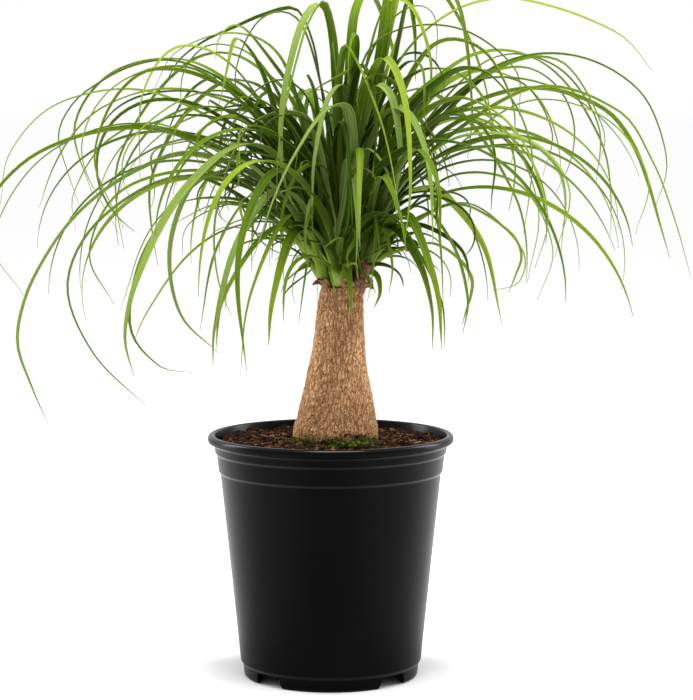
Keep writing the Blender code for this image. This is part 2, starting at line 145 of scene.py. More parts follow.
class Finish:
    """One material with a Principled shader."""

    def __init__(self, name, **constants):
        self.material = bpy.data.materials.new(name)
        self.material.use_nodes = True
        self.tree = self.material.node_tree
        self.shader = self.tree.nodes["Principled BSDF"]
        for socket, value in constants.items():
            self.feed(socket.replace("_", " ").title().replace("Ior", "IOR"), value)

    def node(self, kind, settings=None, sockets=None, out=0):
        made = self.tree.nodes.new(kind)
        for name, value in (settings or {}).items():
            if name == "stops":
                ramp = made.color_ramp
                while len(ramp.elements) < len(value):
                    ramp.elements.new(0.5)
                for stop, (place, colour) in zip(ramp.elements, value):
                    stop.position, stop.color = place, (*colour, 1)
            else:
                setattr(made, name, value)
        for name, value in (sockets or {}).items():
            if isinstance(value, Value):
                self.tree.links.new(value.socket, made.inputs[name])
            else:
                made.inputs[name].default_value = value
        return Value(self, made.outputs[out])

    def feed(self, socket, value):
        if isinstance(value, Value):
            self.tree.links.new(value.socket, self.shader.inputs[socket])
        else:
            self.shader.inputs[socket].default_value = value

    def place(self):
        return self.node("ShaderNodeTexCoord", out="Object")

    def split(self, vector):
        """The x, y and z of a vector."""
        apart = self.node("ShaderNodeSeparateXYZ", None, {0: vector})
        return [Value(self, socket) for socket in apart.socket.node.outputs]

    def grain(self, scale, detail=3.0, stretch=(1, 1, 1), vector=None):
        """Smooth noise, from 0 to 1, with its size set per metre."""
        where = self.node("ShaderNodeMapping", None, {"Vector": vector or self.place(), "Scale": stretch})
        return self.node("ShaderNodeTexNoise", None, {"Vector": where, "Scale": scale, "Detail": detail})

    def attribute(self, name):
        return self.node("ShaderNodeAttribute", {"attribute_name": name}, out="Fac")

    def ramp(self, value, *stops):
        return self.node("ShaderNodeValToRGB", {"stops": stops}, {"Fac": value})

    def band(self, value, low, high, start=0.0, end=1.0):
        """Rises smoothly from start to end as the value goes from low to high."""
        ends = {"From Min": low, "From Max": high, "To Min": start, "To Max": end}
        return self.node("ShaderNodeMapRange", {"interpolation_type": "SMOOTHSTEP"}, {"Value": value, **ends})

    def blend(self, factor, base, colour):
        """Lays a colour over a base, by a factor from 0 to 1."""
        return self.node("ShaderNodeMix", {"data_type": "RGBA"}, {0: factor, 6: base, 7: (*colour, 1)}, out=2)

    def bump(self, height, strength, distance):
        settings = {"Height": height, "Strength": strength, "Distance": distance}
        return self.node("ShaderNodeBump", None, settings)


def streaked_finish(name, grain, dark, light, roughness, relief, **constants):
    """Two colours along one grain, which sets the roughness and the relief too."""
    made = Finish(name, **constants)
    streaks = made.grain(*grain)
    made.feed("Base Color", made.ramp(streaks, (0.3, dark), (0.7, light)))
    made.feed("Roughness", roughness + 0.2 * streaks)
    made.feed("Normal", made.bump(streaks, *relief))
    return made


print("shader helpers ready")

# %% [markdown]
# ## Finishing a piece
# Every new piece is given a name and a finish, is tied to the frame's root,
# and hides the solid nodes that it stands for. One helper does all of this, so
# that no piece is forgotten.

# %% Hand a mesh over as a piece
WELD = 0.02 * MM


def mesh_of(name, bm):
    """Turn a bmesh into a mesh, and let the bmesh go."""
    mesh = bpy.data.meshes.new(name)
    bm.to_mesh(mesh)
    bm.free()
    return mesh


def finish_piece(name, bm, finish, nodes=(), sharp=None, weld=None):
    """Make an object of a bmesh, and tie it to the frame.

    sharp is the angle in degrees from which an edge stays hard.
    """
    if weld:
        bmesh.ops.remove_doubles(bm, verts=bm.verts, dist=weld)
        bmesh.ops.recalc_face_normals(bm, faces=bm.faces)
    mesh = mesh_of(name, bm)
    mesh.shade_smooth()
    if sharp:
        mesh.set_sharp_from_angle(angle=math.radians(sharp))
    item = add_object(name, mesh)
    mesh.materials.append(finish.material)
    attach(item, "root")
    if nodes:
        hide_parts(*nodes)
    return item


def thicken(item, thickness):
    """Give a sheet its thickness, half to each side."""
    wall = item.modifiers.new("thickness", "SOLIDIFY")
    wall.thickness, wall.offset = thickness, 0


def between(ends, share):
    """The value at a share of the way from the first end to the second."""
    return ends[0] + (ends[1] - ends[0]) * share


def heading(angle):
    """A level direction, with 0 to the right."""
    return Vector((math.cos(angle), math.sin(angle), 0))


def crosswise(angle):
    """The level direction across a heading, along which a blade is wide."""
    return Vector((-math.sin(angle), math.cos(angle), 0))


def turned(profile, steps):
    """Spin a profile of (radius, height) in mm about the Z axis."""
    bm = bmesh.new()
    chain = [bm.verts.new((radius * MM, 0, height * MM)) for radius, height in profile]
    edges = [bm.edges.new(pair) for pair in zip(chain, chain[1:])]
    bmesh.ops.spin(bm, geom=[*chain, *edges], cent=(0, 0, 0), axis=(0, 0, 1), angle=math.tau,
                   steps=steps, use_merge=True)
    bmesh.ops.remove_doubles(bm, verts=bm.verts, dist=0.01 * MM)
    bmesh.ops.recalc_face_normals(bm, faces=bm.faces)
    return bm


# %% [markdown]
# ## The floor
# A wide pale sheet. It is only a stage, and is not part of the object. The
# lamps would wash out the soft shadow at the pot's feet, and the sheet's glare
# would grey the pot's black front, so the sheet is greyer beside the pot and a
# little way before it.

# %% Floor
PALE_SHEET, BEFORE_POT, BESIDE_POT = 0.975, 0.48, 0.55
floor_bm = bmesh.new()
bmesh.ops.create_grid(floor_bm, x_segments=1, y_segments=1, size=60)
floor = add_object("floor", mesh_of("floor", floor_bm))
floor_finish = Finish("pale floor", roughness=0.9)


def floor_distance(centre_y, stretch):
    """Distance on the floor from a point on the Y axis."""
    shift = {"Scale": stretch, "Location": (0, -centre_y * stretch[1], 0)}
    where = floor_finish.node("ShaderNodeMapping", None, {"Vector": floor_finish.place(), **shift})
    return floor_finish.node("ShaderNodeVectorMath", {"operation": "LENGTH"}, {0: where}, out=1)


in_front = floor_finish.band(floor_distance(-0.75, (1.5, 0.58, 1)), 0.30, 0.50, BEFORE_POT, PALE_SHEET)
beside = floor_finish.band(floor_distance(0, (1, 1, 1)), 0.10, 0.24, BESIDE_POT, PALE_SHEET)
floor_finish.feed("Base Color", in_front.sum_with("MINIMUM", beside))
floor.data.materials.append(floor_finish.material)
print("floor laid")

# %% [markdown]
# ## The pot
# A thin moulded shell, so its outline is drawn once and spun round: rolled
# lip, two stacking bands with soft steps, tapered wall and foot ring. Four
# notches are then cut through the ring. The plastic is satin black, with a
# fine moulded grain and a little pale dust, and shines most where it faces up
# or down: on the lip and along the steps.

# %% Black moulded plastic
pot_black = Finish("moulded black plastic", ior=1.49, specular_ior_level=0.042)
dust = pot_black.grain(9, 4, (1, 1, 0.5))
fine_grain = pot_black.grain(900, 2)
pot_black.feed("Base Color", pot_black.ramp(dust, (0.3, (0.0003, 0.0004, 0.0005)),
                                            (0.75, (0.0010, 0.0011, 0.0012))))
pot_black.feed("Roughness", 0.26 + 0.10 * dust + 0.05 * fine_grain)
pot_black.feed("Normal", pot_black.bump(fine_grain, 0.12, 0.0002))
facing_up = pot_black.split(pot_black.node("ShaderNodeNewGeometry", out="Normal"))[2]
sheen_above = pot_black.band(facing_up, 0.08, 0.60, 0.0, 0.30)
sheen_below = pot_black.band(facing_up, -0.24, -0.52, 0.0, 0.17)
pot_black.feed("Coat Weight", sheen_above + sheen_below)
pot_black.feed("Coat Roughness", 0.16)

# %% Pot outline
POT_LIP = [(122.4, 255.6), (122.9, 257.0), (124.2, 257.9), (125.8, 258.1), (127.6, 257.9), (128.9, 257.1),
           (129.7, 255.9), (130.0, 254.4), (130.0, 251.8), (129.6, 250.3), (128.4, 249.4), (126.6, 249.1)]
POT_WALL = [(124.6, 248.3), (123.6, 247.0), (123.2, 245.6), (122.6, 240.4), (122.3, 239.2), (121.7, 238.3),
            (120.9, 237.3), (120.6, 236.2), (118.9, 220.6), (118.6, 219.3), (117.9, 218.3), (117.1, 217.2),
            (116.8, 216.0), (106.6, 118.0), (96.2, 17.4), (95.7, 15.9), (94.2, 13.8), (93.5, 12.4),
            (92.5, 3.0), (91.9, 1.2), (90.6, 0.0), (88.4, 0.0), (87.5, 0.8), (86.9, 14.0), (86.0, 15.0)]
POT_INSIDE = [(92.0, 17.0), (93.4, 17.6), (94.3, 19.4), (115.0, 216.4), (118.3, 236.4), (121.0, 247.0)]
pot_bm = turned([(0, 17), *POT_INSIDE, *POT_LIP, *POT_WALL, (0, 15)], 192)
print("pot faces", len(pot_bm.faces))

# %% Cut the notches and drain holes
NOTCH_REACH = (78 * MM, 104 * MM)
NOTCH_HEIGHTS = (-2 * MM, 12.6 * MM)
NOTCH_HALVES = (19.5 * MM, 15.5 * MM)
NOTCH_ROUNDING = 2.5 * MM
DRAIN_RADIUS, DRAIN_RING = 6 * MM, 66 * MM


def cut_away(bm, cutters):
    """Subtract closed bmeshes from another with exact Booleans."""
    item = add_object("cut_work", mesh_of("cut_work", bm))
    tools = []
    for cutter_bm in cutters:
        tool = add_object("cutter", mesh_of("cutter", cutter_bm))
        cut = item.modifiers.new("cut", "BOOLEAN")
        cut.object, cut.operation, cut.solver = tool, "DIFFERENCE", "EXACT"
        tools.append(tool)
    result = item.evaluated_get(bpy.context.evaluated_depsgraph_get()).to_mesh()
    done = bmesh.new()
    done.from_mesh(result)
    for used in (item, *tools):
        bpy.data.objects.remove(used, do_unlink=True)
    return done


def notch_cutter(turn):
    """A wedge-sided block that passes through the foot ring."""
    block = bmesh.new()
    bmesh.ops.create_cube(block, size=1)
    for vert in block.verts:
        share = vert.co.z + 0.5
        vert.co = Vector((between(NOTCH_REACH, vert.co.x + 0.5), vert.co.y * 2 * between(NOTCH_HALVES, share),
                          between(NOTCH_HEIGHTS, share)))
    ceiling_edges = [edge for edge in block.edges if abs(edge.verts[0].co.y - edge.verts[1].co.y) < 1 * MM
                     and min(vert.co.z for vert in edge.verts) > NOTCH_HEIGHTS[1] - 1 * MM]
    bmesh.ops.bevel(block, geom=ceiling_edges, offset=NOTCH_ROUNDING, offset_type="OFFSET", segments=4,
                    profile=0.5, affect="EDGES", material=-1)
    bmesh.ops.rotate(block, verts=block.verts, cent=(0, 0, 0), matrix=Matrix.Rotation(turn, 3, "Z"))
    return block


def drain_cutter(turn):
    """A short rod that passes through the pot's floor."""
    rod = bmesh.new()
    bmesh.ops.create_cone(rod, cap_ends=True, segments=32, radius1=DRAIN_RADIUS, radius2=DRAIN_RADIUS,
                          depth=12 * MM)
    bmesh.ops.translate(rod, verts=rod.verts, vec=heading(turn) * DRAIN_RING + Vector((0, 0, 16 * MM)))
    return rod


quarter_turns = [math.radians(45 + 90 * step) for step in range(4)]
cutters = [cutter(turn) for cutter in (notch_cutter, drain_cutter) for turn in quarter_turns]
pot_bm = cut_away(pot_bm, cutters)
pot = finish_piece("nursery_pot", pot_bm, pot_black, ["pot"], sharp=32)
print("pot faces after cutting", len(pot.data.polygons))

# %% [markdown]
# ## Measuring the solid pieces
# The fine surfaces must sit exactly where the solids are, so their sizes are
# measured from the frame. The trunk is read as level rings. A leaf is read as
# a chain of small cross-sections, walked from its base to its tip.

# %% Read rings and leaf lines from the frame
FULL_RING = 20
SECTION_SPREAD = 9 * MM


def merged_copy(node):
    bm = bmesh.new()
    bm.from_mesh(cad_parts[node].data)
    bmesh.ops.remove_doubles(bm, verts=bm.verts, dist=0.01 * MM)
    return bm


def level_rings(node):
    """Height, mean radius and centre of each level ring of points."""
    levels = {}
    bm = merged_copy(node)
    for vert in bm.verts:
        levels.setdefault(round(vert.co.z, 4), []).append(vert.co.copy())
    bm.free()
    rings = []
    for height, points in sorted(levels.items()):
        if len(points) >= FULL_RING:
            centre = sum(points, Vector()) / len(points)
            radius = sum((point - centre).xy.length for point in points) / len(points)
            rings.append((height, radius, centre.x, centre.y))
    return rings


def leaf_line(node, crown):
    """The leaf's midline and its sideways direction at each section, base first."""
    bm = merged_copy(node)
    start = min(bm.verts, key=lambda vert: (vert.co - crown).length)
    ring = [vert for vert in bm.verts if (vert.co - start.co).length < SECTION_SPREAD]
    seen, sections = set(ring), []
    while ring:
        spots = [vert.co.copy() for vert in ring]
        pairs = ((a, b) for a in spots for b in spots)
        first, second = max(pairs, key=lambda pair: (pair[0] - pair[1]).length)
        sections.append((sum(spots, Vector()) / len(spots), second - first))
        ring = list({edge.other_vert(vert) for vert in ring for edge in vert.link_edges} - seen)
        seen.update(ring)
    bm.free()
    return sections


trunk_rings = level_rings("trunk")
crown = Vector((trunk_rings[-1][2], trunk_rings[-1][3], trunk_rings[-1][0]))
leaf_nodes = sorted(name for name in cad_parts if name.startswith("leaf_"))
leaf_lines = {name: leaf_line(name, crown) for name in leaf_nodes}
print("trunk rings", len(trunk_rings), "crown", tuple(round(v, 3) for v in crown))
print("leaf sections", sorted({len(line) for line in leaf_lines.values()}))

# %% [markdown]
# ## Leaf surface
# A ponytail palm's leaf is a long channelled ribbon. Its base is a pale
# sheath that wraps the shoot, the blade is widest about a third of the way
# along, and it ends in a hair-thin, often dry tip. Fine veins run lengthwise.
# The finish follows the leaf's own UV map, with u across and v along.

# %% Leaf finish
# Centre of the painted shade that darkens the leaves in the crown's heart.
CROWN_HEART = (0.012, 0.0, 0.56)
LEAF_THICKNESS = 0.42 * MM
green_leaf = Finish("green leaf blade", ior=1.42, specular_ior_level=0.05, subsurface_weight=0.10,
                    subsurface_radius=(0.5, 1.0, 0.08), subsurface_scale=0.002)
leaf_map = green_leaf.node("ShaderNodeUVMap")
across, along = green_leaf.split(leaf_map)[:2]
off_middle = (across - 0.5).sum_with("ABSOLUTE") * 2
stripes = green_leaf.grain(1.0, 3, (15, 1.4, 1), leaf_map)
leaf_fibres = green_leaf.grain(1.0, 2, (70, 5, 1), leaf_map)
patches = green_leaf.grain(16, 2)
heart_distance = green_leaf.node("ShaderNodeVectorMath", {"operation": "DISTANCE"},
                                 {0: green_leaf.place(), 1: CROWN_HEART}, out=1)
# Random tone and stripes, plus painted shade: leaves are darkened near the crown's heart, where the crown
# shades them. They are also a little darker towards the base.
tone_and_painted_shade = (green_leaf.attribute("tint") + 0.30 * (patches - 0.5) + 1.3 * (stripes - 0.5) + 0.20 * (along - 0.4)
         + green_leaf.band(heart_distance, 0.05, 0.20, -0.42, 0.08))
blade_colour = green_leaf.ramp(tone_and_painted_shade, (0.0, (0.010, 0.026, 0.0003)), (0.3, (0.028, 0.062, 0.0010)),
                               (0.65, (0.078, 0.135, 0.0040)), (1.0, (0.190, 0.250, 0.0150)))
# Painted highlight: the pale leaves carry a light grey-green sheen in lengthwise streaks.
bloom = green_leaf.attribute("bloom") * (0.2 + 1.4 * stripes)
dried_end = along + 0.05 * (leaf_fibres - 0.5) + 0.10 * (green_leaf.attribute("dry") - 0.6)
# Laid over the green in turn: fibres, midrib, rims, pale base, a painted highlight on the pale leaves, and
# dry tip.
for mask, colour in (
        (green_leaf.band(leaf_fibres, 0.4, 0.75, 0.0, 0.3), (0.120, 0.175, 0.010)),
        (green_leaf.band(off_middle, 0.14, 0.0, 0.0, 0.25), (0.14, 0.20, 0.02)),
        (green_leaf.band(off_middle, 0.86, 1.0, 0.0, 0.35), (0.19, 0.25, 0.03)),
        (green_leaf.band(along, 0.14, 0.0, 0.0, 0.85), (0.210, 0.290, 0.045)),
        (green_leaf.band(bloom, 0.45, 0.95, 0.0, 0.85), (0.185, 0.260, 0.064)),
        (green_leaf.band(dried_end, 0.975, 1.02), (0.30, 0.20, 0.08))):
    blade_colour = green_leaf.blend(mask, blade_colour, colour)
green_leaf.feed("Base Color", blade_colour)
green_leaf.feed("Roughness", 0.36 + 0.16 * leaf_fibres)
veins = (across * 88).sum_with("SINE")
green_leaf.feed("Normal", green_leaf.bump(veins + 2.0 * leaf_fibres + 2.0 * stripes, 0.35, 0.0003))
print("leaf finish", green_leaf.material.name)

# %% Build one ribbon
CURVE_STEPS = 12
THREAD_TIP = 0.35 * MM


def along_line(points, count):
    """Evenly spaced points on a smooth curve through the given ones."""
    padded = [points[0] * 2 - points[1], *points, points[-1] * 2 - points[-2]]
    fine = []
    for a, b, c, d in zip(padded, padded[1:], padded[2:], padded[3:]):
        for t in (step / CURVE_STEPS for step in range(CURVE_STEPS)):
            square, cube = 2 * a - 5 * b + 4 * c - d, 3 * b - a - 3 * c + d
            fine.append(0.5 * (2 * b + (c - a) * t + square * t * t + cube * t ** 3))
    fine.append(points[-1])
    reach = [0.0]
    for a, b in zip(fine, fine[1:]):
        reach.append(reach[-1] + (b - a).length)
    spots, place = [], 0
    for step in range(count):
        target = reach[-1] * step / (count - 1)
        while place < len(fine) - 2 and reach[place + 1] < target:
            place += 1
        step_length = max(reach[place + 1] - reach[place], 1e-9)
        spots.append(fine[place].lerp(fine[place + 1], (target - reach[place]) / step_length))
    return spots, reach[-1]


def blade_width(t, length, width, sheath):
    """Sheath, waist, blade and thread-like tip."""
    near = t * length
    blade = width * (0.72 + 0.28 * min(1, t / 0.22)) * max(1 - t ** 1.9, 0) ** 0.85
    return blade + (sheath - width * 0.7) * math.exp(-(near / 0.026) ** 2)


def add_ribbon(bm, points, sides, width, luck, sheath=19 * MM, tint=0.5, stations=46, cells=6, curl=0.0,
               bloom=0.0):
    """A channelled ribbon along a line. luck is the leaf's own random source."""
    spots, length = along_line(points, stations)
    uv_layer = bm.loops.layers.uv.verify()
    floats = bm.verts.layers.float
    tint_layer, dry_layer, painted_highlight_layer = [floats.get(name) or floats.new(name)
                                          for name in ("tint", "dry", "bloom")]
    grid = bmesh.ops.create_grid(bm, x_segments=stations - 1, y_segments=cells, size=0.5)["verts"]
    twist_end, sway, phase = luck.uniform(-1.0, 1.0) + curl, luck.uniform(0.04, 0.16), luck.uniform(0, 6)
    dryness = luck.random() ** 2
    lean_over = luck.uniform(-0.5, 0.5)
    places = {}
    side = sides[0].normalized()
    frames = []
    for index, spot in enumerate(spots):
        t = index / (stations - 1)
        ahead = (spots[min(index + 1, stations - 1)] - spots[max(index - 1, 0)]).normalized()
        wanted = sides[min(int(t * len(sides)), len(sides) - 1)]
        side = wanted if wanted.dot(side) > 0 else -wanted
        side = (side - ahead * side.dot(ahead)).normalized()
        face = side.cross(ahead)
        if (face.dot(frames[-1][2]) <= 0) if frames else (face.xy.dot((crown - spot).xy) < 0):
            face = -face
        frames.append((spot, side, face, t, ahead))
    for spot, side, face, t, ahead in frames:
        turn = lean_over * min(1, t / 0.15) + twist_end * t ** 2 + sway * math.sin(phase + 9 * t)
        spin = Matrix.Rotation(turn, 3, ahead)
        side_now, face_now = spin @ side, spin @ face
        wide = max(blade_width(t, length, width, sheath), THREAD_TIP)
        wrap = 0.75 + 2.1 * math.exp(-(t * length / 0.03) ** 2) + 0.25 * t
        radius = wide / wrap
        for cell in range(cells + 1):
            u = cell / cells * 2 - 1
            bend = u * wrap / 2
            rise = radius * (1 - math.cos(bend)) + 0.10 * abs(u) * wide * min(1, t / 0.08)
            place = spot + side_now * radius * math.sin(bend) + face_now * rise
            places[(round(t * (stations - 1)), cell)] = (place, u, t)
    for vert in grid:
        key = (round((vert.co.x + 0.5) * (stations - 1)), round((vert.co.y + 0.5) * cells))
        vert.co, u, t = places[key]
        vert[tint_layer], vert[dry_layer], vert[painted_highlight_layer] = tint, dryness, bloom
        for loop in vert.link_loops:
            loop[uv_layer].uv = (u / 2 + 0.5, t)


def finish_leaf(name, bm, nodes=()):
    thicken(finish_piece(name, bm, green_leaf, nodes), LEAF_THICKNESS)


# %% Leaves that stand for the solid ones
# These leaves carry the painted highlight.
PALE_LEAVES = ("leaf_front_1", "leaf_front_2", "leaf_left_6", "leaf_left_5", "leaf_front_4", "leaf_right_4")
WIDEST = 15 * MM
for number, (name, line) in enumerate(leaf_lines.items()):
    luck = random.Random(number + 11)
    ribbon = bmesh.new()
    middles, sides = zip(*line)
    width = min(max(side.length for side in sides[1:]) * 0.98, WIDEST)
    add_ribbon(ribbon, middles, sides[:-1], width, luck,
               tint=luck.uniform(0.3, 0.9), bloom=0.85 if name in PALE_LEAVES else 0.0)
    finish_leaf(f"blade_{name[5:]}", ribbon, [name])
print("fine leaves for solid nodes", len(leaf_lines))

# %% [markdown]
# ## More leaves, drawn one by one
# Each shoot carries some forty leaves, far more than the solid model holds.
# The ones that shape the plant's outline, and some that cross before its dark
# middle, are drawn here like the solid ones: a direction, a width, and the
# places that the arch passes through. Many turn their tips back in, like a
# shepherd's crook.

# %% Where each shoot stands
SHOOT_NAMES = sorted(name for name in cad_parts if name.startswith("shoot_"))
shoot_lines = {}
for shoot_name in SHOOT_NAMES:
    stem = merged_copy(shoot_name)
    lowest = min(vert.co.z for vert in stem.verts)
    foot_ring = [vert.co.copy() for vert in stem.verts if vert.co.z < lowest + 1 * MM]
    summit = max((vert.co.copy() for vert in stem.verts), key=lambda place: place.z)
    shoot_lines[shoot_name[6:]] = (sum(foot_ring, Vector()) / len(foot_ring), summit)
    stem.free()
print({name: tuple(round(v, 3) for v in line[1]) for name, line in shoot_lines.items()})

# %% Drawn leaves
# Shoot, direction in degrees, width, paleness (the painted highlight), then the arch: (distance out, height).
# Lengths are in mm.
DRAWN_LEAVES = [
    ("left", 172, 9, 0, (22, 550), (48, 650), (98, 679), (160, 660), (186, 618)),
    ("left", 158, 8, 0, (30, 550), (75, 645), (130, 668), (165, 640), (170, 590)),
    ("left", 187, 9, 0, (35, 540), (95, 640), (155, 664), (192, 615), (196, 528)),
    ("left", 150, 8, 0, (80, 590), (170, 650), (270, 640), (325, 580), (300, 500)),
    ("left", 214, 8, 0, (70, 570), (160, 640), (250, 625), (290, 560), (250, 478)),
    ("left", 174, 7, 0, (90, 565), (190, 618), (285, 606), (338, 555), (350, 500)),
    ("left", 197, 8, 0, (90, 530), (200, 585), (300, 552), (352, 470), (322, 412)),
    ("left", 164, 7, 0, (70, 520), (180, 582), (245, 566), (285, 510), (284, 470)),
    ("left", 206, 11, 0, (70, 490), (160, 532), (250, 492), (288, 427), (262, 356), (205, 298)),
    ("left", 217, 8, 0, (60, 490), (140, 535), (220, 470), (245, 390), (212, 345), (170, 334)),
    ("left", 223, 9, 1, (55, 500), (120, 548), (180, 528), (212, 465), (200, 398), (150, 354)),
    ("left", 190, 8, 0, (50, 478), (105, 475), (150, 445), (190, 390), (205, 358)),
    ("left", 238, 14, 0, (35, 470), (70, 468), (104, 405), (112, 361)),
    ("left", 234, 12, 1, (45, 500), (95, 515), (155, 462), (188, 388), (192, 345)),
    ("left", 180, 7, 0, (60, 500), (130, 535), (215, 515), (250, 450), (225, 395)),
    ("centre", -132, 10, 1, (10, 600), (28, 700), (60, 690), (88, 620), (94, 560), (82, 512), (48, 478)),
    ("centre", 10, 9, 0, (12, 590), (28, 660), (75, 686), (135, 680), (186, 640), (190, 592)),
    ("centre", 174, 9, 0, (18, 600), (45, 690), (85, 694), (112, 640), (105, 580)),
    ("centre", -30, 10, 0, (20, 600), (48, 700), (80, 706), (104, 650), (100, 590)),
    ("right", 20, 8, 0, (50, 540), (120, 622), (185, 628), (222, 576), (212, 528)),
    ("right", 8, 9, 0, (55, 550), (140, 636), (215, 650), (262, 580), (258, 540)),
    ("right", -14, 9, 0, (60, 540), (180, 620), (270, 600), (308, 548), (332, 488), (350, 428)),
    ("right", -30, 10, 1, (45, 510), (110, 568), (195, 570), (243, 522), (228, 452)),
    ("right", -20, 8, 0, (30, 456), (70, 488), (125, 502), (178, 458), (176, 424), (148, 414)),
    ("right", -50, 14, 0, (28, 460), (58, 478), (95, 445), (115, 400), (118, 358)),
    ("right", -38, 10, 0, (38, 475), (80, 500), (122, 462), (141, 410), (136, 373)),
    ("right", -121, 12, 1, (8, 560), (28, 622), (62, 612), (88, 550), (92, 490)),
    ("right", -62, 13, 1, (12, 560), (34, 620), (72, 612), (90, 555), (76, 498)),
    ("right", 28, 7, 0, (70, 570), (160, 652), (245, 645), (300, 582), (298, 515)),
    ("right", -3, 7, 0, (70, 530), (170, 606), (255, 592), (302, 530), (290, 470)),
    ("right", -40, 8, 0, (45, 530), (120, 598), (190, 580), (232, 505), (220, 430)),
    ("right", 2, 8, 0, (40, 480), (100, 530), (170, 520), (205, 455), (190, 400)),
    ("left", -38, 8, 0, (10, 455), (28, 451), (50, 430), (64, 411)),
    ("front", -70, 8, 0, (10, 440), (22, 438), (33, 418), (36, 397), (29, 386)),
    ("left", 192, 8, 0, (14, 434), (28, 432), (44, 420), (50, 408)),
    ("right", -18, 5, 0, (9, 428), (20, 424), (24, 408), (18, 392)),
    ("left", 176, 15, 0, (30, 500), (60, 560), (100, 590), (140, 570), (160, 520)),
    ("right", 62, 16, 0, (26, 560), (54, 660), (75, 728), (105, 738), (130, 690), (135, 630)),
    ("right", -8, 16, 0, (22, 530), (50, 620), (85, 668), (130, 660), (160, 610), (165, 560)),
    ("left", -50, 8, 1, (15, 500), (40, 546), (70, 560), (100, 532), (112, 488)),
    ("right", -135, 8, 0, (20, 500), (50, 542), (85, 538), (108, 500), (112, 458)),
    ("front", -20, 8, 1, (12, 500), (30, 568), (56, 600), (86, 585), (106, 530), (108, 492)),
    ("front", -165, 7, 0, (10, 520), (30, 602), (62, 630), (100, 608), (122, 556)),
    ("left", -75, 7, 0, (12, 520), (36, 580), (70, 584), (90, 540), (84, 490), (62, 468)),
    ("centre", -70, 8, 0, (20, 590), (50, 645), (84, 630), (100, 582), (90, 532)),
    ("right", -95, 7, 0, (12, 500), (32, 550), (60, 550), (75, 510), (60, 475)),
    ("front", -50, 6, 0, (12, 470), (32, 500), (56, 490), (65, 452)),
    ("front", -120, 6, 0, (12, 465), (30, 496), (52, 500), (70, 475), (68, 446)),
    ("left", -110, 7, 1, (10, 470), (28, 506), (50, 505), (65, 470), (58, 438)),
    ("right", -60, 7, 0, (10, 455), (32, 480), (56, 474), (70, 440), (64, 412)),
    ("front", -155, 9, 0, (30, 490), (75, 500), (120, 455), (130, 395)),
    ("front", -78, 10, 1, (12, 500), (35, 545), (65, 535), (85, 485), (80, 440)),
]


def drawn_line(shoot, azimuth, arch, share):
    """A start on the shoot's side, then the places of the arch."""
    foot, top = shoot_lines[shoot]
    outward = heading(azimuth)
    start = foot.lerp(top, share) + outward * (7 - 3 * share) * MM
    return [start] + [Vector((foot.x, foot.y, height * MM)) + outward * out * MM for out, height in arch]


for shoot in shoot_lines:
    ribbon = bmesh.new()
    for number, (home, degrees, width, pale, *arch) in enumerate(DRAWN_LEAVES):
        if home == shoot:
            luck = random.Random(number + 301)
            azimuth = math.radians(degrees)
            # The taller its arch, the higher up the shoot a leaf starts.
            share = min(max((max(height for out, height in arch) - 470) / 200, 0.04), 0.8)
            line = drawn_line(shoot, azimuth, arch, share)
            add_ribbon(ribbon, line, [crosswise(azimuth)], width * MM, luck,
                       sheath=luck.uniform(15, 19) * MM, tint=luck.uniform(0.3, 0.9), bloom=0.9 * pale)
    if ribbon.verts:
        finish_leaf(f"drawn_leaves_{shoot}", ribbon)
    else:
        ribbon.free()
print("drawn leaves", len(DRAWN_LEAVES))

# %% [markdown]
# ## The leaves in between
# The rest grow by a rule: they leave the shoot steeply, and their own weight
# bends them over, more and more towards the tip. Each starts a golden angle
# round from the one before, which is how leaves space themselves on a shoot.
# Those that face the front are kept short, so that the trunk stays in sight,
# and thin curled ones fill the crown's dark heart.

# %% Grow more leaves
HANGING_STEPS = 22


def hanging_line(start, azimuth, launch, droop, power, length, swing, kink=None, wave=0.0):
    """Walk along a leaf whose slope falls from the launch angle to the droop angle.

    swing turns it sideways, kink folds it at a share of its length, and wave makes it snake.
    """
    points, spot, steps = [start], start.copy(), HANGING_STEPS
    for step in range(steps):
        t = (step + 0.5) / steps
        slope = launch - (launch + droop) * t ** power
        if kink and t > kink:
            slope = min(slope, -droop) - 0.1
        slope += 0.6 * wave * t * math.sin(8 * t + 5 * swing)
        around = azimuth + swing * t * t + wave * t * math.sin(6.5 * t + 9 * wave)
        ahead = heading(around) * math.cos(slope) + Vector((0, 0, math.sin(slope)))
        spot = spot + ahead * length / steps
        points.append(spot.copy())
    return points


GOLDEN = math.pi * (3 - math.sqrt(5))
REACH_LIMIT = 0.325
KINKED_SHARE = 0.06
